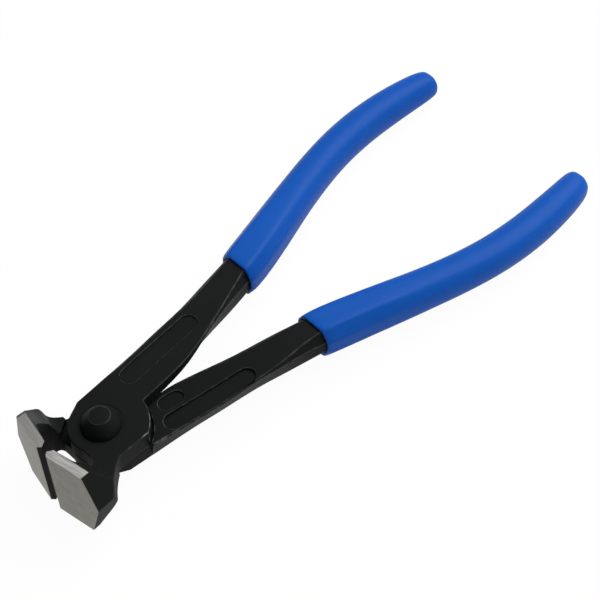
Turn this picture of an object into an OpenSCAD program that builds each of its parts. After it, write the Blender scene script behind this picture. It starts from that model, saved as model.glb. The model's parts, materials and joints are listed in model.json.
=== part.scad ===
// End cutting nippers with dipped grips, nearly closed and lying flat.
// The pivot axis is Z, the origin is on it, midway between the two eyes.
// The handles run towards +Y and the jaws face -Y.
// The lower half is the upper half turned over about the Y axis.

/* [Joint] */
// Thickness of one half at the pivot
eye_t = 6; // [4:0.1:8]
// Gap between the two eyes
lap_gap = 0.12; // [0.06:0.02:0.3]
// Radius of the front of the eye
eye_r = 9.7; // [8.5:0.1:10.4]
// Radius of the back of the eye
eye_back_r = 14; // [13:0.1:15]
// Gap between the back of the eye and the other half's shoulder
shoulder_gap = 0.5; // [0.3:0.05:1]
// Radius of the pocket in front of the other half's eye
pocket_r = 12; // [11.4:0.1:12.6]
// How far a half reaches past the lap beyond its pocket
overlap_t = 1.8; // [1:0.1:2.6]
// Direction in which the back of the eye meets the neck
corner_angle = 34; // [28:1:40]
// How far behind the front of the pocket the neck is cut back to the lap
neck_cut_y = 4.5; // [3.5:0.1:5.5]
// Distance of the eye's outer side from the middle plane, beside the pivot
eye_side_x = 10.9; // [10.4:0.1:11.4]
// Distance of the eye's outer side from the middle plane, at the arm's root
eye_root_x = 11.8; // [11.2:0.1:12.4]

/* [Rivet] */
// Radius of the rivet's shank
shank_r = 4; // [3:0.1:5]
// Running clearance of the shank, on the radius
shank_fit = 0.05; // [0.02:0.01:0.1]
// Play between the lower half and the head under it
head_gap = 0.08; // [0.04:0.02:0.2]
// Radius of a head where it meets the eye
head_r = 6.1; // [5.4:0.1:6.8]
// Radius of the flat on top of a head
head_flat_r = 3.2; // [2.4:0.1:3.8]
// Height of a head
head_h = 4.4; // [3:0.1:5]
// How far the side of a head swells past a plain cone
head_swell = 0.5; // [0.2:0.05:0.8]
// Width of the sunk ring round a head
ring_w = 0.7; // [0.4:0.05:1]
// Depth of the sunk ring round a head
ring_depth = 0.3; // [0.15:0.05:0.5]

/* [Jaws] */
// Half the width of the jaws
jaw_half_w = 13.6; // [12:0.1:16]
// Distance of the ground front's inner ridge from the middle plane
ridge_x = 2.1; // [1.8:0.05:2.6]
// Distance of the ground front's inner ridge ahead of the pivot
ridge_y = 20.1; // [19:0.1:21]
// Angle of the ground front to the tool's width
front_angle = 10.3; // [7:0.1:13]
// Length of the ground front to its outermost point
front_w = 16.6; // [15:0.1:18]
// How far the cutting edge stands in from the ridge
edge_in = 1.1; // [0.8:0.05:1.3]
// How far the cutting edge lies behind the ridge
edge_back = 1.05; // [0.8:0.05:1.3]
// Depth of the ground flat on the flank of a blade
flank_w = 2.85; // [2.2:0.05:3.5]
// Slope of the head behind the flank
head_slope = 60; // [52:1:66]
// Swell of that slope past a plain flat, per length of the slope
belly_share = 0.1; // [0.04:0.01:0.13]
// Radius of the bend in the middle of the swell
belly_r = 6; // [3:0.1:7]
// Radius of the fillet at the foot of that slope
foot_r = 2.5; // [1:0.1:4]
// Draft of the jaw's outer side, each way from its parting line
side_draft = 16; // [12:0.5:20]
// Lean of the jaw's outer side towards the pivot
side_lean = 3; // [2:0.5:6]
// Distance of the neck's outer side from the middle plane, at its waist
waist_x = 12.1; // [11.6:0.1:12.6]
// Distance of that waist ahead of the pivot
waist_y = 4.2; // [3.6:0.1:4.8]
// Distance ahead of the pivot at which the jaw reaches its full breadth
breadth_y = 11.4; // [10.6:0.1:12.2]
// Radius of the bends between the waist and the jaw's outer side
waist_r = 5; // [3:0.1:6]
// Half the width of the throat behind the blades
throat_half_w = 9.2; // [8.4:0.1:9.6]
// Distance of the throat's back ahead of the pivot
throat_back_y = 9.2; // [8.8:0.1:9.6]
// Thickness of a blade where the throat begins
blade_t = 3.4; // [3:0.1:4]
// Radius of the throat's corners
throat_r = 2.2; // [1.4:0.1:2.6]
// Relief angle of the throat side of a cutting edge
relief_angle = 31; // [24:1:36]
// Length of that relief
relief_w = 2.1; // [1.6:0.1:2.6]

/* [Arms] */
// Distance of the arm's middle line from the middle plane at its root
root_x = 5; // [4.8:0.1:5.2]
// Distance of the arm's root behind the pivot
root_y = 7.4; // [6.8:0.1:8]
// Distance of the arm's middle line from the middle plane at the cuff
cuff_x = 16.8; // [15:0.1:18]
// Distance of the cuff behind the pivot
cuff_y = 67; // [60:0.5:72]
// Width of the arm at its root
root_w = 13.5; // [13.1:0.1:13.9]
// Width of the arm at the cuff
cuff_w = 11.4; // [10.8:0.1:12]
// Thickness of the arm at the cuff
cuff_t = 10.6; // [9.6:0.1:11.2]
// Distance behind the pivot at which the arm has narrowed
slim_y = 48; // [44:0.5:54]
// How far each face of an arm is set over from the middle line, at most
set_over = 1.7; // [1.5:0.1:1.9]
// How far the arm's outer side stands out at the face by the lap
low_out = 1.9; // [1.5:0.1:2.1]
// How far the arm's inner side stands in beside the crotch
web_w = 1.1; // [0.6:0.1:1.4]
// Lean of the relief between the arms at the crotch
crotch_angle = 3.2; // [3:0.1:3.5]
// Height of that relief over the other arm's face
crotch_gap = 0.7; // [0.65:0.05:0.8]
// Height over the other arm's face down to which the arm's inner side stands upright
wall_gap = 1; // [0.95:0.05:1.4]
// Bevel on the arm's long edges at the root, across
root_bevel_w = 0.4; // [0.3:0.05:1]
// Bevel on the arm's long edges at the root, down
root_bevel_h = 0.5; // [0.3:0.05:1]
// Bevel on the arm's long edges at the cuff, across
cuff_bevel_w = 2.2; // [1.4:0.1:3]
// Bevel on the arm's long edges at the cuff, down
cuff_bevel_h = 3.4; // [2.4:0.1:4]
// Distance behind the pivot at which those bevels begin to widen
bevel_y = 42; // [36:0.5:48]
// Width of the sunk panel on an arm
panel_w = 5.6; // [4.8:0.1:6]
// Length of the sunk panel on an arm
panel_l = 30.6; // [24:0.1:32]
// Depth of the sunk panel on an arm
panel_depth = 0.6; // [0.3:0.05:1]
// Distance of the sunk panel's middle behind the pivot
panel_y = 29.2; // [28:0.1:32]
// Distance of the upper panel's middle from the middle plane
panel_x = 8.8; // [8.4:0.1:9.6]
// Distance of the lower panel's middle from the middle plane
low_panel_x = 13.3; // [12.8:0.1:13.6]
// Lean of the upper panel
panel_lean = 6; // [4:0.5:8]
// Lean of the lower panel
low_panel_lean = 10; // [8:0.5:12]
// Diameter of the small sunk mark near the pivot
mark_d = 4.6; // [3.6:0.1:5.2]
// Length of the small sunk mark
mark_l = 8; // [6.5:0.1:9]
// Distance of the small sunk mark from the middle plane
mark_x = 5.3; // [5:0.1:5.6]
// Distance of the small sunk mark behind the pivot
mark_y = 21; // [20.5:0.1:22]

/* [Grips] */
// Distance of the grip's middle line from the middle plane where the handles are widest
wide_x = 34.9; // [32:0.1:38]
// Distance of that place behind the pivot
wide_y = 141; // [134:0.5:148]
// Distance of the grip's middle line from the middle plane at its tip
tip_x = 32.6; // [31:0.1:36]
// Distance of the grip's tip behind the pivot
tip_y = 170.5; // [163:0.5:178]
// Thickness of the coat at the edge of the cuff
cuff_edge = 0.5; // [0.4:0.05:0.8]
// Width of a grip just behind its cuff
grip_cuff_w = 13.4; // [13.2:0.1:14.4]
// Thickness of a grip just behind its cuff
grip_cuff_t = 12.4; // [12.2:0.1:13.2]
// Length over which the edge of the cuff swells to that size
swell_run = 7; // [5:0.1:10]
// Width of a grip along its length
grip_w = 12; // [11.2:0.1:12.8]
// Thickness of a grip along its length
grip_t = 11.7; // [11:0.1:12.2]
// Length over which the cuff narrows to the grip
cuff_run = 40; // [34:1:50]
// Corner radius of a grip's section at the cuff
cuff_corner_r = 3; // [2.4:0.1:4]
// Corner radius of a grip's section along its length
grip_corner_r = 4.6; // [3.6:0.1:5.4]
// Length of the round on a grip's tip
tip_round = 7; // [5:0.1:9]
// Width of the forging inside a grip, near the tip
tang_w = 8; // [7.2:0.1:8.6]
// Thickness of the forging inside a grip, near the tip
tang_t = 7.8; // [7.2:0.1:8.4]
// Length over which the forging narrows inside a grip
tang_run = 16; // [10:0.5:24]
// Thickness of the coat over the end of the forging
coat_end = 4; // [3:0.1:6]

/* [Hidden] */
$fn = 96;
// Overrun of every cut
over = 1;
// Slope of the middle line at the root, the cuff and the tip, across per length
root_slope_share = 0.14;
cuff_slope_share = 0.23;
tip_slope_share = -0.17;
// Number of steps along an arm, a grip and a round corner, and of points round a grip
arm_steps = 14;
grip_steps = 30;
corner_steps = 6;
grip_sides = 28;
forge_colour = [0.13, 0.135, 0.145];
rivet_colour = [0.11, 0.11, 0.12];
grip_colour = [0.15, 0.37, 0.74];

// Reach of the cutting blocks, the tool's whole length
reach = ridge_y + tip_y;
lap_z = lap_gap / 2;
shoulder_r = eye_back_r + shoulder_gap;
// Direction in which the eye's outer side leaves its round front
side_angle = 180 + acos(eye_r / eye_side_x);
end_y = tip_y - coat_end;
ridge = [ridge_x, -ridge_y];
edge = [ridge_x - edge_in, edge_back - ridge_y];
front_dir = [cos(front_angle), sin(front_angle)];
apex = ridge + front_w * front_dir;

// Cubic between two places, with given values and slopes at its ends
function hermite(y, from, to, a, b, slope_a, slope_b) =
    let (run = to - from, t = (y - from) / run)
    (2 * t * t * t - 3 * t * t + 1) * a + (t * t * t - 2 * t * t + t) * slope_a * run
    + (3 * t * t - 2 * t * t * t) * b + (t * t * t - t * t) * slope_b * run;

// Distance of the handle's middle line from the middle plane at y
function line_x(y) =
    y < cuff_y
    ? hermite(y, root_y, cuff_y, root_x, cuff_x, root_slope_share, cuff_slope_share)
    : y < wide_y
    ? hermite(y, cuff_y, wide_y, cuff_x, wide_x, cuff_slope_share, 0)
    : hermite(y, wide_y, tip_y, wide_x, tip_x, 0, tip_slope_share);

// Even climb from 0 to 1 between two places, and a smooth one
function ramp(y, from, to) = max(0, min(1, (y - from) / (to - from)));
function ease(y, from, to) =
    let (t = ramp(y, from, to))
    t * t * (3 - 2 * t);

function mix(a, b, t) = a + (b - a) * t;

// A value that goes from its root size to its cuff size and on to its size inside the grip
function along(y, at_root, at_cuff, at_tang) =
    y < cuff_y
    ? mix(at_root, at_cuff, ease(y, shoulder_r, cuff_y))
    : mix(at_cuff, at_tang, ease(y, cuff_y, cuff_y + tang_run));

// Width of the arm at y, and of the forging inside the grip
function arm_w(y) =
    y < cuff_y
    ? mix(root_w, cuff_w, ease(y, panel_y, slim_y))
    : mix(cuff_w, tang_w, ease(y, cuff_y, cuff_y + tang_run));

// Section of the forged arm at y, eight corners, its low face set over outward
function arm_section(y) =
    let (
        share = (y - root_y) / (cuff_y - root_y),
        half = arm_w(y) / 2,
        top = top_z(y),
        low = low_z(y),
        widen = ramp(y, bevel_y, cuff_y),
        bw = mix(root_bevel_w, cuff_bevel_w, widen),
        bh = mix(root_bevel_h, cuff_bevel_h, widen),
        shift = set_over * sin(180 * min(1, share)),
        flare = low_out * (1 - ease(y, slim_y, cuff_y)),
        lean = ease(y, panel_y, cuff_y),
        web = web_w * (1 - lean),
        low_web = web * (1 - ease(y, shoulder_r, slim_y)),
        mid = line_x(y),
        outer = [mid + half - shift, mid + half + flare],
        inner = [mid - half - web - shift, mid - half - low_web + shift],
        turn = bh / (top - low)
    )
    [
        [bw - outer[0], y, top],
        [-mix(outer[0], outer[1], turn), y, top - bh],
        [-mix(outer[1], outer[0], turn), y, low + bh],
        [bw - outer[1], y, low],
        [-bw - inner[1], y, low],
        [-mix(inner[1], inner[0], turn), y, low + bh],
        [-mix(inner[0], inner[1], turn * lean), y, mix(wall_gap - low, top - bh, lean)],
        [-bw - inner[0], y, top]
    ];

// Height of the arm's top face and of its low face at y, and their slopes there
function top_z(y) = along(y, eye_t, cuff_t / 2, tang_t / 2);
function low_z(y) = -along(y, overlap_t, cuff_t / 2, tang_t / 2);
function top_tilt(y) = atan2(top_z(y + panel_w) - top_z(y - panel_w), panel_w + panel_w);
function low_tilt(y) = atan2(low_z(y + panel_w) - low_z(y - panel_w), panel_w + panel_w);

// Section of the grip at y, a rounded rectangle shrunk by the round of the tip
function grip_section(y) =
    let (
        t = max(0, (y - tip_y + tip_round) / tip_round),
        shrink = sqrt(max(0, 1 - t * t)),
        run = ease(y, cuff_y, cuff_y + cuff_run),
        swell = sqrt(1 - pow(1 - min(1, (y - cuff_y) / swell_run), 2)),
        a = mix(cuff_w / 2 + cuff_edge, mix(grip_cuff_w, grip_w, run) / 2, swell),
        b = mix(cuff_t / 2 + cuff_edge, mix(grip_cuff_t, grip_t, run) / 2, swell),
        r = mix(cuff_corner_r, grip_corner_r, run),
        mid = line_x(y)
    )
    [
        for (i = [0 : grip_sides - 1])
        let (
            q = 360 * (i + 0.5) / grip_sides,
            u = (sign(cos(q)) * (a - r) + r * cos(q)) * shrink,
            z = (sign(sin(q)) * (b - r) + r * sin(q)) * shrink
        )
        [u - mid, y, z]
    ];

// Solid through a list of sections with the same number of corners
module loft(sections) {
    n = len(sections[0]);
    rows = len(sections);
    points = [for (s = sections) each s];
    sides = [
        for (j = [0 : rows - 2], i = [0 : n - 1])
        let (k = (i + 1) % n)
        each [
            [j * n + i, j * n + k, (j + 1) * n + i],
            [j * n + k, (j + 1) * n + k, (j + 1) * n + i]
        ]
    ];
    first = [for (i = [1 : n - 2]) [0, i + 1, i]];
    last = [for (i = [1 : n - 2]) [(rows - 1) * n, (rows - 1) * n + i, (rows - 1) * n + i + 1]];
    polyhedron(points, concat(sides, first, last));
}

// Points of a round of radius r at corner b of the path a, b, c
function round_corner(a, b, c, r) =
    let (
        u = (a - b) / norm(a - b),
        v = (c - b) / norm(c - b),
        half = acos(u * v) / 2,
        mid = (u + v) / norm(u + v),
        centre = b + mid * r / sin(half),
        from = b + u * r / tan(half) - centre,
        to = b + v * r / tan(half) - centre
    )
    [
        for (i = [0 : corner_steps])
        let (t = i / corner_steps, d = from * (1 - t) + to * t)
        centre + d / norm(d) * r
    ];

// Outline of the neck and jaw seen from above, up to the middle of the eye
module head_outline() {
    relief_end = edge + relief_w * [sin(relief_angle), cos(relief_angle)];
    throat_front = [throat_half_w, -ridge_y + (throat_half_w - ridge_x) * tan(front_angle) + blade_t];
    throat_back = [throat_half_w, -throat_back_y];
    throat_end = [0, -throat_back_y];
    eye_corner = eye_back_r * [cos(corner_angle), sin(corner_angle)];
    waist = [waist_x, -waist_y];
    breadth = [apex[0], -breadth_y];
    front = [apex[0], apex[1] - reach];
    polygon(concat(
        [edge, ridge, [apex[0], ridge[1] + (apex[0] - ridge[0]) * tan(front_angle)]],
        round_corner(front, breadth, waist, waist_r),
        round_corner(breadth, waist, eye_corner, waist_r),
        [eye_corner, [0, 0], throat_end],
        round_corner(throat_end, throat_back, throat_front, throat_r),
        round_corner(throat_back, throat_front, relief_end, throat_r),
        [relief_end]
    ));
}

// Side view of the head: depth behind the ridge across, height up
module head_profile() {
    function slope_foot(height) = [flank_w + (jaw_half_w - height) / tan(head_slope), height];
    top_foot = slope_foot(eye_t);
    low_foot = [slope_foot(overlap_t)[0], -overlap_t];
    top_back = [reach, eye_t];
    low_back = [reach, -overlap_t];
    top_edge = [flank_w, jaw_half_w];
    low_edge = [flank_w, -jaw_half_w];
    function belly(from, to) = (from + to) / 2 + belly_share * [to[1] - from[1], from[0] - to[0]];
    top_belly = belly(top_foot, top_edge);
    low_belly = belly(low_edge, low_foot);
    polygon(concat(
        [[-over, -jaw_half_w], low_edge],
        round_corner(low_edge, low_belly, low_foot, belly_r),
        round_corner(low_belly, low_foot, low_back, foot_r),
        [low_back, top_back],
        round_corner(top_back, top_foot, top_belly, foot_r),
        round_corner(top_foot, top_belly, top_edge, belly_r),
        [top_edge, [-over, jaw_half_w]]
    ));
}

// Everything outside one flat of the jaw's drafted outer side
module outer_side(draft) {
    translate([apex[0], apex[1], 0])
    rotate([0, draft, side_lean])
    translate([0, -reach, -reach])
    cube([reach + reach, reach + reach, reach + reach]);
}

// Neck and jaw, full height
module head() {
    difference() {
        intersection() {
            translate([0, 0, -jaw_half_w])
            linear_extrude(jaw_half_w + jaw_half_w)
            head_outline();
            translate([ridge[0], ridge[1], 0])
            rotate([90, 0, 90 + front_angle])
            translate([0, 0, -reach])
            linear_extrude(reach + reach)
            head_profile();
        }
        outer_side(-side_draft);
        outer_side(side_draft);
    }
}

// Outline of the eye, round in front and wider behind
module eye_outline() {
    circle(eye_r);
    intersection() {
        circle(eye_back_r);
        polygon([
            [0, 0],
            eye_back_r * [cos(corner_angle), sin(corner_angle)],
            [eye_back_r, eye_back_r + eye_back_r],
            [-eye_root_x, eye_back_r + eye_back_r],
            [-eye_root_x, root_y],
            [-eye_side_x, 0],
            eye_r * [cos(side_angle), sin(side_angle)]
        ]);
    }
}

// Room for the other half's eye, below the lap
module pocket_outline() {
    circle(pocket_r);
    intersection() {
        circle(shoulder_r);
        translate([-reach, 0])
        square([reach + reach, reach]);
    }
    translate([0, -neck_cut_y])
    square([reach, reach]);
}

// Room for the other half's arm at the crotch
module crotch_outline() {
    difference() {
        rotate(crotch_angle)
        square([reach, reach]);
        circle(eye_back_r + shoulder_gap / 2);
    }
}

// Sunk panel with round ends, its floor one depth below z = 0
module panel(length, width) {
    translate([0, 0, -panel_depth])
    linear_extrude(panel_depth + over) {
        square([width, length - width], center = true);
        for (end = [-1, 1])
        translate([0, end * (length - width) / 2])
        circle(width / 2);
    }
}

// Forged half with its eye above the lap, jaw at +X and arm at -X
module half() {
    difference() {
        union() {
            loft([
                arm_section(root_y),
                for (i = [0 : arm_steps]) arm_section(mix(shoulder_r, cuff_y, i / arm_steps)),
                for (i = [1 : grip_steps]) arm_section(mix(cuff_y, end_y, i / grip_steps))
            ]);
            linear_extrude(eye_t)
            eye_outline();
            head();
        }
        translate([0, 0, lap_z - reach])
        linear_extrude(reach)
        pocket_outline();
        translate([0, 0, overlap_t + crotch_gap - reach])
        linear_extrude(reach)
        crotch_outline();
        translate([0, 0, -over])
        cylinder(r = shank_r + shank_fit, h = eye_t + over + over);
        translate([0, 0, eye_t - ring_depth])
        cylinder(r = head_r + ring_w, h = ring_depth + over);
        translate([-panel_x, panel_y, top_z(panel_y)])
        rotate([top_tilt(panel_y), 0, panel_lean])
        panel(panel_l, panel_w);
        translate([-low_panel_x, panel_y, low_z(panel_y)])
        rotate([180 + low_tilt(panel_y), 0, low_panel_lean])
        panel(panel_l, panel_w);
        translate([-mark_x, mark_y, low_z(mark_y)])
        rotate([180 + low_tilt(mark_y), 0, low_panel_lean])
        panel(mark_l, mark_d);
    }
}

// Dipped coat over the forging, from the cuff to the tip
module grip() {
    difference() {
        loft([
            for (i = [0 : corner_steps]) grip_section(cuff_y + swell_run * (1 - cos(90 * i / corner_steps))),
            for (i = [1 : grip_steps])
            grip_section(mix(cuff_y + swell_run, tip_y - tip_round, i / grip_steps)),
            for (i = [1 : corner_steps])
            grip_section(tip_y - tip_round + tip_round * sin(85 * i / corner_steps))
        ]);
        loft([
            arm_section(cuff_y - over),
            for (i = [0 : grip_steps]) arm_section(mix(cuff_y, end_y, i / grip_steps))
        ]);
    }
}

module upper_half() {
    color(forge_colour) half();
}

module lower_half() {
    color(forge_colour) rotate([0, 180, 0]) half();
}

// Half of the rivet's outline, from the middle plane up, its head raised by a gap
function rivet_side(gap) =
    let (face = eye_t + gap, base = face - ring_depth, top = face + head_h)
    concat(
        [[0, 0], [shank_r, 0], [shank_r, base], [head_r, base], [head_r, face]],
        [
            for (i = [1 : corner_steps])
            let (t = i / corner_steps)
            [mix(head_r, head_flat_r, t) + head_swell * sin(180 * t), mix(face, top, t)]
        ],
        [[0, top]]
    );

module rivet() {
    color(rivet_colour)
    for (side = [[0, 0], [180, head_gap]])
    rotate([0, side[0], 0])
    rotate_extrude()
    polygon(rivet_side(side[1]));
}

module upper_grip() {
    color(grip_colour) grip();
}

module lower_grip() {
    color(grip_colour) rotate([0, 180, 0]) grip();
}

upper_half();
lower_half();
rivet();
upper_grip();
lower_grip();
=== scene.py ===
# %% [markdown]
# # End cutting nippers
#
# A pair of end cutting nippers is two steel forgings that cross at a rivet, with a soft
# plastic grip on each arm. The solid model gives every piece its place and size, in metres,
# with the pivot axis on Z and the handles along +Y. Here the same pieces get their looks:
# rounded edges, blackened and ground steel, and grips that swell at the cuff.

import json
import math

import bpy
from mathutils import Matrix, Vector

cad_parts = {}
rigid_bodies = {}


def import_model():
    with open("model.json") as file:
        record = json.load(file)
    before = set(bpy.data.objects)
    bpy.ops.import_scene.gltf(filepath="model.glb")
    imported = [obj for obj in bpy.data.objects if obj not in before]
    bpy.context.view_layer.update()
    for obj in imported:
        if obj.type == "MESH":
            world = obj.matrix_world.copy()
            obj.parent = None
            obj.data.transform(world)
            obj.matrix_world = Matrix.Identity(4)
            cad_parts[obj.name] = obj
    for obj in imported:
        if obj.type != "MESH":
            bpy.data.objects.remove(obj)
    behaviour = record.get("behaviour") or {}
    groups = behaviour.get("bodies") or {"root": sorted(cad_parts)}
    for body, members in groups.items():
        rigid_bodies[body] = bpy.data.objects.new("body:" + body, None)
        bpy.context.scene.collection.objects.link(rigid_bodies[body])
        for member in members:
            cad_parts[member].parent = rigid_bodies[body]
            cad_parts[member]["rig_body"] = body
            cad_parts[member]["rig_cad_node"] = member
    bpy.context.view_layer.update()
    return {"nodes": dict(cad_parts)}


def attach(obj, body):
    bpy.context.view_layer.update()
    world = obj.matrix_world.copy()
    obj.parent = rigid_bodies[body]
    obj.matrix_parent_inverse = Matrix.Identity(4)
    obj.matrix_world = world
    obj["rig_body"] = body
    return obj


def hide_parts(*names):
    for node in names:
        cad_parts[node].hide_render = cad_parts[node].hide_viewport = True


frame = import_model()

MM = 0.001
scene = bpy.context.scene
scene.view_settings.view_transform = "Standard"
print("frame:", ", ".join(sorted(frame["nodes"])))

# %% [markdown]
# ## The camera
#
# The tool is seen from above and from its right, with a long lens, so that its far arm is
# hardly smaller than its near one. A picture of 600 by 600 points with a focal length of
# 1599.5 points is a 96 mm lens on a 36 mm sensor.

# %% Camera
PICTURE, SENSOR, FOCAL = 600, 36, 1599.46
CAMERA_AT = (230.116, -127.088, 379.867)
CAMERA_TURN = (38.4957, 1.7604, 46.1550)
NEAREST = 10

bpy.ops.object.select_all(action="DESELECT")
bpy.ops.object.camera_add(
    location=[v * MM for v in CAMERA_AT],
    rotation=[math.radians(a) for a in CAMERA_TURN],
)
camera = bpy.context.object
camera.data.sensor_width = SENSOR
camera.data.lens = FOCAL * SENSOR / PICTURE
camera.data.clip_start = NEAREST * MM
scene.camera = camera
print("camera:", round(camera.data.lens, 1), "mm lens")


# %% [markdown]
# ## Helpers for working as by hand
#
# An operator acts on whatever is selected, so each step starts by clearing the selection
# and then picks faces or edges by where they are. Places are given in millimetres, because
# that is how the tool would be measured on a bench.

# %% Selection helpers
def only(piece):
    """Selects one object and makes it the active one."""
    if bpy.context.mode != "OBJECT":
        bpy.ops.object.mode_set(mode="OBJECT")
    bpy.ops.object.select_all(action="DESELECT")
    piece.select_set(True)
    bpy.context.view_layer.objects.active = piece


def pick_faces(piece, test):
    """Goes to edit mode with the faces selected whose middle and normal pass the test."""
    bpy.ops.object.mode_set(mode="EDIT")
    bpy.ops.mesh.select_mode(type="FACE")
    bpy.ops.mesh.select_all(action="DESELECT")
    bpy.ops.object.mode_set(mode="OBJECT")
    for face in piece.data.polygons:
        face.select = bool(test(face.center / MM, face.normal))
    bpy.ops.object.mode_set(mode="EDIT")


def done(piece, smooth):
    """Back to object mode, smooth below the given angle, and says what was made."""
    bpy.ops.object.mode_set(mode="OBJECT")
    only(piece)
    bpy.ops.object.shade_smooth_by_angle(angle=math.radians(smooth))
    print("made", piece.name, "with", len(piece.data.polygons), "faces")


# %% [markdown]
# ## The forgings
#
# Each half is one drop forging: arm, eye and jaw in one. Its solid already has the right
# shape, and could be dressed as it is, but its edges are as sharp as a drawing's. So a copy
# of it is merged into one skin that can be worked on. The solid itself stays as it was.

# %% Merged copies of the two solids
MERGE, TINY, FLAT_ANGLE = 0.002, 0.25, 0.2


def merged_copy(node, name):
    """Copies one solid, joins its loose triangles and takes out the seams on its flats."""
    only(frame["nodes"][node])
    bpy.ops.object.duplicate()
    half = bpy.context.object
    half.name = half.data.name = name
    half.parent = None
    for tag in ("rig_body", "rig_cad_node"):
        del half[tag]
    half.data.materials.clear()
    bpy.ops.object.mode_set(mode="EDIT")
    bpy.ops.mesh.select_all(action="SELECT")
    bpy.ops.mesh.customdata_custom_splitnormals_clear()
    bpy.ops.mesh.remove_doubles(threshold=MERGE * MM)
    bpy.ops.mesh.dissolve_limited(angle_limit=math.radians(FLAT_ANGLE))
    bpy.ops.mesh.dissolve_degenerate(threshold=TINY * MM)
    bpy.ops.object.mode_set(mode="OBJECT")
    print("merged", name, "to", len(half.data.polygons), "faces")
    return half


upper_forging = merged_copy("upper_half", "upper_forging")
lower_forging = merged_copy("lower_half", "lower_forging")

# %% [markdown]
# ## The edges of the forgings
#
# A forging comes out of its die with rounded edges, and only grinding makes them crisp. So
# every hard outer edge gets its own rounding as a bevel weight: wide on the neck and the
# back of the jaw, narrow along the arms, and hardly any round the ground blade. The outer
# end of the far jaw is the roundest. Inner corners stay as they are, since nothing rubs
# them, and so does the throat, which is too tight for a bevel.

# %% Rounding of each edge
WIDEST = 1.0
HARD_ANGLE = 24
UNDER_HEAD_R = 7.2
THROAT_X, THROAT_Y, THROAT_Z = (6.5, 9.6), (-14.0, -7.0), 11.5
END_X, END_Y = 13.9, -17.0
FLANK_Z = 13.0
CRISP_Y, CRISP_Z = -17.5, 13.5
BLADE_X, BLADE_Y, BLADE_ROUND = 17.0, -13.6, 0.1
NECK_X, NECK_Y, NECK_ROUND = 11.0, -4.0, 0.5
ARM_ROUND = 0.3


def in_throat(at):
    """True for a place in the tight corner between the jaw and its neck."""
    (x0, x1), (y0, y1) = THROAT_X, THROAT_Y
    return x0 < at.x < x1 and y0 < at.y < y1 and abs(at.z) < THROAT_Z


def edge_round(at, end_round):
    """Rounding in millimetres of the hard edge with this middle, on the upper half."""
    if at.xy.length < UNDER_HEAD_R or in_throat(at):
        return 0
    if at.x > END_X and (abs(at.z) > FLANK_Z or at.y < END_Y):
        return end_round
    if at.y < CRISP_Y and abs(at.z) > CRISP_Z:
        return 0
    if at.y < BLADE_Y and at.x < BLADE_X:
        return BLADE_ROUND
    if at.y < NECK_Y and at.x > NECK_X:
        return NECK_ROUND
    return ARM_ROUND


print("hard edges start at", HARD_ANGLE, "degrees")

# %% [markdown]
# ## Which edges stand out
#
# An edge is an outer one where its second face falls away from its first one. That is told
# close to the edge, because on a curved face the middle of the face can mislead. The lower
# half is the upper one turned over, so its places are turned back before the rounding is
# looked up.

# %% Bevel weights
def stands_out(mesh, edge, one, two):
    """True where face two falls away from face one, so that their edge is an outer one."""
    a, b = edge.vertices
    ring = list(two.vertices)
    if ring[ring.index(a) - 1] == b:
        a, b = b, a
    along = mesh.vertices[b].co - mesh.vertices[a].co
    return two.normal.cross(along).dot(one.normal) < 0


def weigh_edges(half, turn, end_round):
    """Gives each selected outer edge its bevel weight."""
    mesh = half.data
    sides = {}
    for face in mesh.polygons:
        for key in face.edge_keys:
            sides.setdefault(key, []).append(face)
    weight = mesh.attributes.new("bevel_weight_edge", "FLOAT", "EDGE")
    for edge in mesh.edges:
        one, two = sides[edge.key]
        if edge.select and stands_out(mesh, edge, one, two):
            a, b = (mesh.vertices[i].co / MM for i in edge.vertices)
            at = (a + b) / 2
            at = Vector((turn * at.x, at.y, turn * at.z))
            weight.data[edge.index].value = edge_round(at, end_round) / WIDEST


print("the widest rounding is", WIDEST, "mm")

# %% [markdown]
# ## Rounding
#
# The sunk ring under each rivet head is made shallower first. Then one Bevel modifier rounds
# all the edges, and puts its strips into a slot of their own, because worn edges are brighter
# than the rest. Weighted normals keep the large flats looking flat.

# %% Round the edges
BLACK, GROUND, FLANK, WORN = range(4)
RING_LOW, RING_HIGH, RING_LIFT = 5.6, 5.8, 0.18
LEVEL = 0.99
BEVEL_STEPS = 3
FORGING_SMOOTH, FLAT_WEIGHT = 40, 100
UPPER_END, LOWER_END = 0.1, 1.0


def lift_rings(half):
    """Raises the floor of the sunk ring under each rivet head."""
    for way in (1, -1):
        pick_faces(
            half,
            lambda at, n: n.z * way > LEVEL
            and RING_LOW < at.z * way < RING_HIGH
            and at.xy.length < UNDER_HEAD_R,
        )
        bpy.ops.transform.translate(value=(0, 0, way * RING_LIFT * MM))


def round_edges(half, turn, end_round):
    """Rounds one half's outer edges and evens out its normals."""
    only(half)
    lift_rings(half)
    bpy.ops.mesh.select_mode(type="EDGE")
    bpy.ops.mesh.select_all(action="DESELECT")
    bpy.ops.mesh.edges_select_sharp(sharpness=math.radians(HARD_ANGLE))
    bpy.ops.object.mode_set(mode="OBJECT")
    weigh_edges(half, turn, end_round)
    for slot in (BLACK, GROUND, FLANK, WORN):
        half.data.materials.append(None)
    rounding = half.modifiers.new("rounding", "BEVEL")
    rounding.limit_method = "WEIGHT"
    rounding.width = WIDEST * MM
    rounding.segments = BEVEL_STEPS
    rounding.use_clamp_overlap = False
    rounding.material = WORN
    bpy.ops.object.modifier_apply(modifier=rounding.name)
    done(half, FORGING_SMOOTH)
    flats = half.modifiers.new("flats", "WEIGHTED_NORMAL")
    flats.keep_sharp = True
    flats.weight = FLAT_WEIGHT
    bpy.ops.object.modifier_apply(modifier=flats.name)


round_edges(upper_forging, 1, UPPER_END)
round_edges(lower_forging, -1, LOWER_END)

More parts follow.
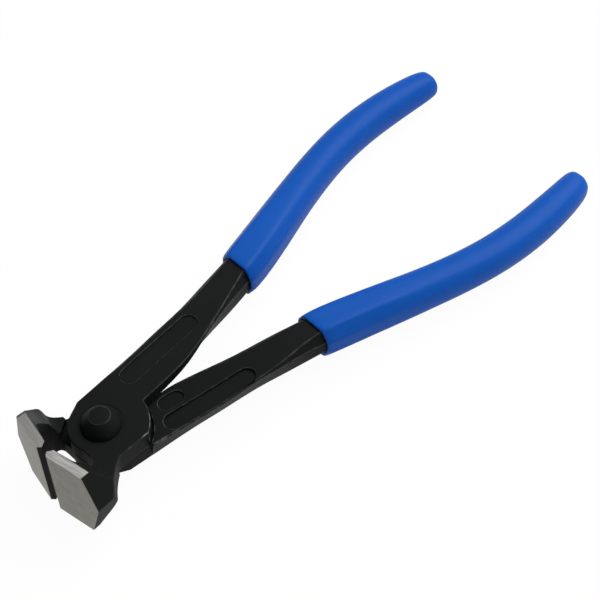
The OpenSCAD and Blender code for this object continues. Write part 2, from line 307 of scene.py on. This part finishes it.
# %% [markdown]
# ## The rivet
#
# The pivot is a rivet with a head like a blunt cone on each side. It could be spun from its
# outline. Here a cylinder as thick as the shank grows its heads by extruding and scaling
# the end faces, because that shows each step of the outline.

# %% Rivet
SHANK_R, HEAD_R, FLAT_R = 4.0, 6.1, 3.2
EYE_T, RING_DEPTH, HEAD_H, HEAD_SWELL, HEAD_GAP = 6.0, 0.12, 4.4, 0.5, 0.08
RIVET_SIDES, DOME_STEPS = 72, 7
FLAT_ROUND, ROUND_STEPS = 0.14, 2
RIVET_SMOOTH = 28


def grow(step, scale):
    """Extrudes the selected end face along Z and scales the new one about the axis."""
    bpy.ops.mesh.extrude_region_move(TRANSFORM_OT_translate={"value": (0, 0, step * MM)})
    bpy.ops.transform.resize(value=(scale, scale, 1), center_override=(0, 0, 0))


bpy.ops.object.select_all(action="DESELECT")
shank_low, shank_high = -(EYE_T + HEAD_GAP - RING_DEPTH), EYE_T - RING_DEPTH
bpy.ops.mesh.primitive_cylinder_add(
    vertices=RIVET_SIDES,
    radius=SHANK_R * MM,
    depth=(shank_high - shank_low) * MM,
    location=(0, 0, (shank_high + shank_low) / 2 * MM),
)
rivet_pin = bpy.context.object
rivet_pin.name = rivet_pin.data.name = "rivet_pin"
bpy.ops.object.transform_apply(location=True)
for way in (1, -1):
    pick_faces(rivet_pin, lambda at, n: n.z * way > LEVEL and at.z * way > 0)
    bpy.ops.mesh.extrude_region()
    spread = HEAD_R / SHANK_R
    bpy.ops.transform.resize(value=(spread, spread, 1), center_override=(0, 0, 0))
    radius = HEAD_R
    grow(way * RING_DEPTH, 1)
    for i in range(1, DOME_STEPS + 1):
        t = i / DOME_STEPS
        new = HEAD_R + (FLAT_R - HEAD_R) * t + HEAD_SWELL * math.sin(math.pi * t)
        grow(way * HEAD_H / DOME_STEPS, new / radius)
        radius = new
    bpy.ops.mesh.bevel(offset=FLAT_ROUND * MM, segments=ROUND_STEPS)
done(rivet_pin, RIVET_SMOOTH)

# %% [markdown]
# ## The grips
#
# A grip is a soft coat that the arm was dipped into, so it follows the arm: near the cuff
# the arm's bevels still show through it, and further on it is nearly round. A cage with
# eight long edges does both, under a subdivision surface: creased at the cuff, and hardly
# creased at the tip. The cage is one ring of eight points, extruded from ring to ring along
# the middle line of the handle.

# %% Middle line of a handle
ROOT, CUFF = (7.4, 5.0, 0.14), (67.0, 16.8, 0.23)
WIDE, TIP = (141.0, 34.9, 0.0), (170.5, 32.6, -0.17)


def cubic(y, start, end):
    """Smooth curve between two stations, each with its place, distance and slope."""
    (y0, a, slope_a), (y1, b, slope_b) = start, end
    run = y1 - y0
    t = (y - y0) / run
    return (
        (2 * t**3 - 3 * t**2 + 1) * a
        + (t**3 - 2 * t**2 + t) * slope_a * run
        + (3 * t**2 - 2 * t**3) * b
        + (t**3 - t**2) * slope_b * run
    )


def line_x(y):
    """Distance of the handle's middle line from the middle plane, in millimetres."""
    if y < CUFF[0]:
        return cubic(y, ROOT, CUFF)
    return cubic(y, CUFF, WIDE) if y < WIDE[0] else cubic(y, WIDE, TIP)


print("middle line at the cuff and the tip:", line_x(CUFF[0]), line_x(TIP[0]))

# %% Rings of the cage
# Each ring: place along Y, half width, half thickness, half width of the top flat, half
# height of the side flat, and crease of the long edges from here on.
GRIP_RINGS = [
    (71.0, 4.6, 4.2, 2.6, 1.4, 0),
    (67.05, 5.72, 5.32, 3.5, 1.9, 0),
    (67.0, 6.5, 6.05, 4.1, 2.3, 0.5),
    (67.6, 6.85, 6.35, 4.3, 2.4, 0.55),
    (69.5, 7.1, 6.55, 4.4, 2.5, 0.55),
    (74.0, 7.2, 6.6, 4.4, 2.6, 0.5),
    (81.0, 7.1, 6.55, 4.2, 2.7, 0.42),
    (90.0, 6.85, 6.45, 3.9, 2.8, 0.32),
    (102.0, 6.5, 6.25, 3.5, 2.8, 0.22),
    (115.0, 6.3, 6.1, 3.2, 2.8, 0.15),
    (128.0, 6.2, 6.05, 3.1, 2.8, 0.1),
    (141.0, 6.15, 6.05, 3.0, 2.8, 0.1),
    (152.0, 5.95, 5.9, 2.9, 2.7, 0.15),
    (161.0, 5.5, 5.5, 2.7, 2.5, 0.2),
    (166.5, 5.05, 5.1, 2.5, 2.3, 0.25),
    (169.6, 4.4, 4.5, 2.2, 2.0, 0.25),
    (170.45, 3.4, 3.4, 1.7, 1.5, 0),
]
LIP, LIP_CREASE = 2, 0.35
CORNERS = 8


def shape_ring(mesh, ring, from_x):
    """Gives the selected ring of eight points its width, thickness and flats."""
    y, a, b, flat, side, _ = ring
    bpy.ops.object.mode_set(mode="OBJECT")
    for point in mesh.vertices:
        if point.select:
            u, w = point.co.x - from_x * MM, point.co.z
            if abs(w) > abs(u):
                u, w = math.copysign(flat, u), math.copysign(b, w)
            else:
                u, w = math.copysign(a, u), math.copysign(side, w)
            point.co = Vector((u - line_x(y), y, w)) * MM
    bpy.ops.object.mode_set(mode="EDIT")
    return -line_x(y)


print("rings in the cage:", len(GRIP_RINGS))

# %% Cage of the upper grip
START_R = 5.0

bpy.ops.object.select_all(action="DESELECT")
bpy.ops.mesh.primitive_circle_add(
    vertices=CORNERS,
    radius=START_R * MM,
    fill_type="NGON",
    rotation=(math.pi / 2, math.pi / CORNERS, 0),
)
upper_coat = bpy.context.object
upper_coat.name = upper_coat.data.name = "upper_coat"
bpy.ops.object.transform_apply(location=True, rotation=True)
bpy.ops.object.mode_set(mode="EDIT")
bpy.ops.mesh.select_mode(type="FACE")
bpy.ops.mesh.select_all(action="SELECT")
ring_x = 0.0
for index, ring in enumerate(GRIP_RINGS):
    if index:
        bpy.ops.mesh.extrude_region()
    ring_x = shape_ring(upper_coat.data, ring, ring_x)
bpy.ops.mesh.select_all(action="SELECT")
bpy.ops.mesh.normals_make_consistent(inside=False)
bpy.ops.object.mode_set(mode="OBJECT")
print("cage of", len(upper_coat.data.polygons), "faces")

# %% Creases and subdivision
GRIP_LEVELS, GRIP_SMOOTH = 3, 60

crease = upper_coat.data.attributes.new("crease_edge", "FLOAT", "EDGE")
for edge in upper_coat.data.edges:
    one, two = sorted(i // CORNERS for i in edge.vertices)
    if two == one + 1:
        crease.data[edge.index].value = GRIP_RINGS[one][-1]
    elif one == two == LIP:
        crease.data[edge.index].value = LIP_CREASE
dipped = upper_coat.modifiers.new("dipped", "SUBSURF")
dipped.levels = dipped.render_levels = GRIP_LEVELS
bpy.ops.object.modifier_apply(modifier=dipped.name)
done(upper_coat, GRIP_SMOOTH)

# %% [markdown]
# ## The second grip
#
# The lower half is the upper one turned over about the tool's long axis, and so is its
# grip. The copy is turned and the turn is applied, so that its place is in its mesh.

# %% Lower grip
only(upper_coat)
bpy.ops.object.duplicate()
lower_coat = bpy.context.object
lower_coat.name = lower_coat.data.name = "lower_coat"
lower_coat.rotation_euler = (0, math.pi, 0)
bpy.ops.object.transform_apply(rotation=True)
print("copied", lower_coat.name)


# %% [markdown]
# ## Finishes as sums
#
# A finish could be wired up by hand in the shader editor. Here it is written as Python
# sums: a small class wraps a node's output, and its operators add the Math nodes. Sizes of
# patterns are in millimetres, like everything else.

# %% Wires
class Wire:
    """One output of a node. Sums and products of wires become Math nodes."""

    def __init__(self, finish, socket):
        self.finish, self.socket = finish, socket

    def _math(self, operation, first, second):
        return self.finish.add("Math", {"operation": operation}, {0: first, 1: second})

    def __add__(self, other):
        return self._math("ADD", self, other)

    def __radd__(self, other):
        return self._math("ADD", other, self)

    def __mul__(self, other):
        return self._math("MULTIPLY", self, other)

    def __rmul__(self, other):
        return self._math("MULTIPLY", other, self)


# %% Finishes
class Finish:
    """A material, and the one method that adds its nodes."""

    def __init__(self, name, **constants):
        self.material = bpy.data.materials.new(name)
        self.material.use_nodes = True
        self.tree = self.material.node_tree
        self.shader = self.tree.nodes["Principled BSDF"]
        for socket, value in constants.items():
            self.shader.inputs[socket.replace("_", " ")].default_value = value
        self.place = self.add("TexCoord", {}, {}, "Object")

    def add(self, kind, settings, sockets, out=0):
        node = self.tree.nodes.new("ShaderNode" + kind)
        for key, value in settings.items():
            setattr(node, key, value)
        for key, value in sockets.items():
            self.feed(node.inputs[key], value)
        return Wire(self, node.outputs[out])

    def feed(self, socket, value):
        if isinstance(value, Wire):
            self.tree.links.new(value.socket, socket)
        else:
            socket.default_value = value

    def set(self, **inputs):
        for socket, value in inputs.items():
            self.feed(self.shader.inputs[socket.replace("_", " ")], value)

    def noise(self, size, detail=3.0, stretch=(1, 1, 1), turn=0.0):
        """Noise with lumps of about the given size, drawn out and turned about Z."""
        lay = {"Vector": self.place, "Rotation": (0, 0, turn), "Scale": stretch}
        at = self.add("Mapping", {"vector_type": "TEXTURE"}, lay)
        lumps = {"Vector": at, "Scale": 1 / (size * MM), "Detail": detail}
        return self.add("TexNoise", {}, lumps)

    def between(self, wire, low, high):
        """0 at the low level, 1 at the high one, and cut off outside them."""
        return self.add("MapRange", {}, {"Value": wire, "From Min": low, "From Max": high})

    def near(self, point, reach):
        """1 at the given point, falling to 0 at the given reach."""
        ends = {0: self.place, 1: [v * MM for v in point]}
        away = self.add("VectorMath", {"operation": "DISTANCE"}, ends, "Value")
        return self.between(away, reach * MM, 0)

    def tint(self, share, first, second):
        colours = {0: share, 6: (*first, 1), 7: (*second, 1)}
        return self.add("Mix", {"data_type": "RGBA"}, colours, 2)

    def bump(self, height, strength, depth):
        relief = {"Height": height, "Strength": strength, "Distance": depth * MM}
        return self.add("Bump", {}, relief)


print("finishes can be mixed")

# %% [markdown]
# ## Blackened forging
#
# The forgings are blackened in a hot bath, over a skin that is still a little rough from
# the die. So the colour is nearly black and slightly cloudy, the gloss is broken up by a
# fine grain, and the bump has that grain and some slow waves. Behind the far jaw's flank a
# lighter grey patch is painted into the colour: a painted reflection of the light on that
# slope.

# %% Black
# The patch round this point, out to this reach, is a painted reflection: the far jaw's back
# slope is made lighter grey where it would catch the light.
PAINTED_REFLECTION_AT, PAINTED_REFLECTION_REACH = (-11.5, -14.0, 12.6), 7.0
DEEP_BLACK, TONE_AND_REFLECTION_GREY = (0.0050, 0.0055, 0.0058), (0.063, 0.065, 0.066)

black_forging = Finish("black_forging", Specular_IOR_Level=0.075)
cloud = black_forging.noise(size=9.0)
grain = black_forging.noise(size=0.5, detail=4.0)
painted_reflection = black_forging.near(PAINTED_REFLECTION_AT, PAINTED_REFLECTION_REACH)
# The cloud varies the black at random; the patch term is painted reflection.
black_forging.set(
    Base_Color=black_forging.tint(0.05 * cloud + 0.9 * painted_reflection, DEEP_BLACK, TONE_AND_REFLECTION_GREY),
    Roughness=0.46 + 0.24 * grain,
    Normal=black_forging.bump(grain + 0.6 * cloud, strength=0.3, depth=0.08),
)
print("mixed", black_forging.material.name)

# %% [markdown]
# ## Worn edges
#
# Along its edges the black is rubbed thin, and the steel shows through in spots, most of all
# round the notch beside the eye. Noise that is cut off between two levels makes such spots,
# and the same mask drives colour and metal.

# %% Worn
NOTCH, NOTCH_REACH = (10.5, 9.5, 6.0), 8.0
THIN_EDGE, BARE_EDGE = (0.009, 0.0095, 0.0098), (0.27, 0.27, 0.255)

worn_edge = Finish("worn_edge", Specular_IOR_Level=0.15)
knocked = worn_edge.near(NOTCH, NOTCH_REACH)
patches = worn_edge.noise(size=2.4, detail=5.0)
spots = worn_edge.between(patches, low=0.42, high=0.7)
rubbed = spots * (0.12 + 0.88 * knocked)
grain = worn_edge.noise(size=0.5, detail=4.0)
worn_edge.set(
    Base_Color=worn_edge.tint(rubbed, THIN_EDGE, BARE_EDGE),
    Roughness=0.4 + 0.2 * grain,
    Metallic=0.6 * rubbed,
    Normal=worn_edge.bump(grain, strength=0.3, depth=0.06),
)
print("mixed", worn_edge.material.name)

# %% [markdown]
# ## Ground steel
#
# The fronts of the jaws are ground after the bath, so they are bare steel with a satin
# grain. Their flanks are ground once more, along the blade, which leaves long scratches. The
# near flank is painted lighter and the far one darker, as painted light and painted shade on
# one finish. All are metal: their colour is what they reflect.

# %% Ground fronts
DULL_STEEL, CLEAN_STEEL = (0.115, 0.108, 0.087), (0.206, 0.196, 0.163)

ground_steel = Finish("ground_steel", Metallic=1.0)
satin = ground_steel.noise(size=0.4, stretch=(1, 1, 7))
patches = ground_steel.noise(size=2.6, detail=5.0)
blotch = ground_steel.between(patches, low=0.3, high=0.7)
ground_steel.set(
    Base_Color=ground_steel.tint(0.5 * satin + 0.5 * blotch, DULL_STEEL, CLEAN_STEEL),
    Roughness=0.36 + 0.12 * satin,
    Normal=ground_steel.bump(satin, strength=0.2, depth=0.02),
)
print("mixed", ground_steel.material.name)

# %% Ground flanks
FRONT_ANGLE = math.radians(10.3)
STEEL_TINT = (1.0, 0.99, 0.955)


def ground_flank(name, turn, low, high):
    """Steel with long scratches along the blade, between two levels of grey."""
    finish = Finish(name, Metallic=1.0)
    scratch = finish.noise(size=0.35, stretch=(14, 1, 1), turn=turn)
    dim, bright = ([grey * part for part in STEEL_TINT] for grey in (low, high))
    share = finish.between(scratch, low=0.3, high=0.7)
    finish.set(
        Base_Color=finish.tint(share, dim, bright),
        Roughness=0.3 + 0.2 * scratch,
        Normal=finish.bump(scratch, strength=0.3, depth=0.03),
    )
    print("mixed", name)
    return finish


# The two flanks face the same way. The near one's lighter greys are painted light, and the
# far one's darker greys are painted shade.
near_flank_painted_lit = ground_flank("near_flank_painted_lit", FRONT_ANGLE, low=0.31, high=0.58)
far_flank_painted_shade = ground_flank("far_flank_painted_shade", -FRONT_ANGLE, low=0.295, high=0.35)

# %% [markdown]
# ## Blue grips
#
# The coat is soft plastic with a dull gloss. Dipping leaves the faintest orange peel, and a
# colour that is a little deeper here and there.

# %% Blue
DEEP_BLUE, THIN_BLUE = (0.004, 0.080, 0.405), (0.006, 0.094, 0.455)

blue_grip = Finish("blue_grip", Specular_IOR_Level=0.09)
cloud = blue_grip.noise(size=14.0)
peel = blue_grip.noise(size=1.2, detail=2.0)
blue_grip.set(
    Base_Color=blue_grip.tint(cloud, DEEP_BLUE, THIN_BLUE),
    Roughness=0.34 + 0.14 * peel,
    Normal=blue_grip.bump(peel, strength=0.12, depth=0.05),
)
print("mixed", blue_grip.material.name)

# %% [markdown]
# ## Dressing the forgings
#
# Which faces of a forging are ground can be told from the way they face: the front leans
# out by the angle it was ground at, and the flanks face straight up or down.

# %% Dress the forgings
FRONT_DEPTH, BY_FRONT, FRONT_Y = 20.15, 0.3, -15.0
FLANK_RIM = 13.3
FACING = 0.995


def dress(half, turn, flank_finish):
    """Puts the four finishes on one half and sorts its faces between them."""
    front = Vector((turn * math.sin(FRONT_ANGLE), -math.cos(FRONT_ANGLE), 0))
    for index, finish in enumerate((black_forging, ground_steel, flank_finish, worn_edge)):
        half.data.materials[index] = finish.material
    for face in half.data.polygons:
        at = face.center / MM
        if face.normal.dot(front) > FACING and at.y < FRONT_Y:
            face.material_index = GROUND
        elif abs(face.normal.z) > FACING and abs(at.z) > FLANK_Z:
            face.material_index = FLANK
        elif face.material_index == WORN and at.y < NECK_Y:
            by_front = FRONT_DEPTH - front.dot(at) < BY_FRONT
            face.material_index = GROUND if by_front or abs(at.z) > FLANK_RIM else BLACK


# The near flank gets the painted-light copy of the flank finish, and the far flank gets the
# painted-shade copy.
dress(upper_forging, 1, near_flank_painted_lit)
dress(lower_forging, -1, far_flank_painted_shade)
print("dressed the forgings")

# %% [markdown]
# ## Dressing the rivet and the grips
#
# The rivet is blackened like the forgings, and only the edge round its flat is worn. The
# grips are blue all over.

# %% Dress the rest
FLAT_EDGE = 0.15

for finish in (black_forging, worn_edge):
    rivet_pin.data.materials.append(finish.material)
for face in rivet_pin.data.polygons:
    by_flat = abs(face.center.z) / MM > EYE_T + HEAD_H - FLAT_EDGE
    face.material_index = int(by_flat and abs(face.normal.z) < LEVEL)
for coat in (upper_coat, lower_coat):
    coat.data.materials.append(blue_grip.material)
print("dressed the rivet and the grips")

# %% [markdown]
# ## Riding on the frame
#
# The rivet is fixed to the upper half, and the lower half turns on it. Each grip moves with
# its arm. Every new piece stands for one solid, which is then hidden.

# %% Ride
for piece, body, node, slot in (
    (upper_forging, "upper", "upper_half", "forging"),
    (lower_forging, "lower", "lower_half", "forging"),
    (rivet_pin, "upper", "rivet", "rivet"),
    (upper_coat, "upper", "upper_grip", "grip"),
    (lower_coat, "lower", "lower_grip", "grip"),
):
    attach(piece, body)
    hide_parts(node)
    print(piece.name, "rides on", body)

# %% [markdown]
# ## Floor and wall
#
# The tool lies on a plain white floor, on its jaw's lower flank and its grips, so the floor
# climbs a little towards the handles. A low round wall stands far off, so that a view from
# the side ends in white too. To the camera, and in the steel's reflections, both mostly glow
# white, and the rest of the floor takes the tool's shadow. The sizes of the floor and the
# wall are in metres.

# %% Floor and wall
FLOOR_Z, FLOOR_CLIMB, JAW_Y = -13.9, 0.042, -20.0
FLOOR_SIZE, WALL_R, WALL_H, WALL_SIDES = 16, 7.5, 4, 96

bpy.ops.object.select_all(action="DESELECT")
bpy.ops.mesh.primitive_plane_add(
    size=FLOOR_SIZE, rotation=(math.atan(FLOOR_CLIMB), 0, 0)
)
floor = bpy.context.object
floor.name = floor.data.name = "floor"
floor.location.z = (FLOOR_Z - JAW_Y * FLOOR_CLIMB) * MM
bpy.ops.object.transform_apply(location=True, rotation=True)

bpy.ops.object.select_all(action="DESELECT")
bpy.ops.mesh.primitive_cylinder_add(
    vertices=WALL_SIDES, radius=WALL_R, depth=WALL_H, end_fill_type="NOTHING"
)
wall = bpy.context.object
wall.name = wall.data.name = "wall"
print("laid the", floor.name, "and built the", wall.name)

# %% White
PAPER = (0.94, 0.94, 0.94, 1)
GLOW = 0.96

white_floor = Finish("white_floor", Base_Color=PAPER, Roughness=0.9)
seen = white_floor.add("LightPath", {}, {}, "Is Camera Ray")
for ray in ("Is Glossy Ray", "Is Transmission Ray"):
    other = white_floor.add("LightPath", {}, {}, ray)
    seen = white_floor.add("Math", {"operation": "MAXIMUM"}, {0: seen, 1: other})
plain = Wire(white_floor, white_floor.shader.outputs[0])
glow = white_floor.add("Emission", {}, {"Color": (1, 1, 1, 1), "Strength": 1.0})
surface = white_floor.add("MixShader", {}, {0: GLOW * seen, 1: plain, 2: glow})
white_floor.feed(white_floor.tree.nodes["Material Output"].inputs["Surface"], surface)
for ground in (floor, wall):
    ground.data.materials.append(white_floor.material)
print("mixed", white_floor.material.name)

# %% [markdown]
# ## Light
#
# One large softbox stands behind the handles and shines down along the tool, and a dim
# white room fills in the rest. The lamp's place and size are in metres too.

# %% Softbox and room
WORLD = 0.3
KEY_AT, KEY_AIM = (0.1, 0.8, 1.1), (0, 0.06, 0)
KEY_SIZE, KEY_POWER = 1.2, 20

scene.world = bpy.data.worlds.new("room")
scene.world.use_nodes = True
room = scene.world.node_tree.nodes["Background"]
room.inputs["Color"].default_value = (1, 1, 1, 1)
room.inputs["Strength"].default_value = WORLD

bpy.ops.object.select_all(action="DESELECT")
bpy.ops.object.light_add(type="AREA", location=KEY_AT)
softbox = bpy.context.object
softbox.name = "softbox"
softbox.data.size = KEY_SIZE
softbox.data.energy = KEY_POWER
beam = Vector(KEY_AIM) - Vector(KEY_AT)
softbox.rotation_euler = beam.to_track_quat("-Z", "Y").to_euler()
print("lit by", softbox.name)
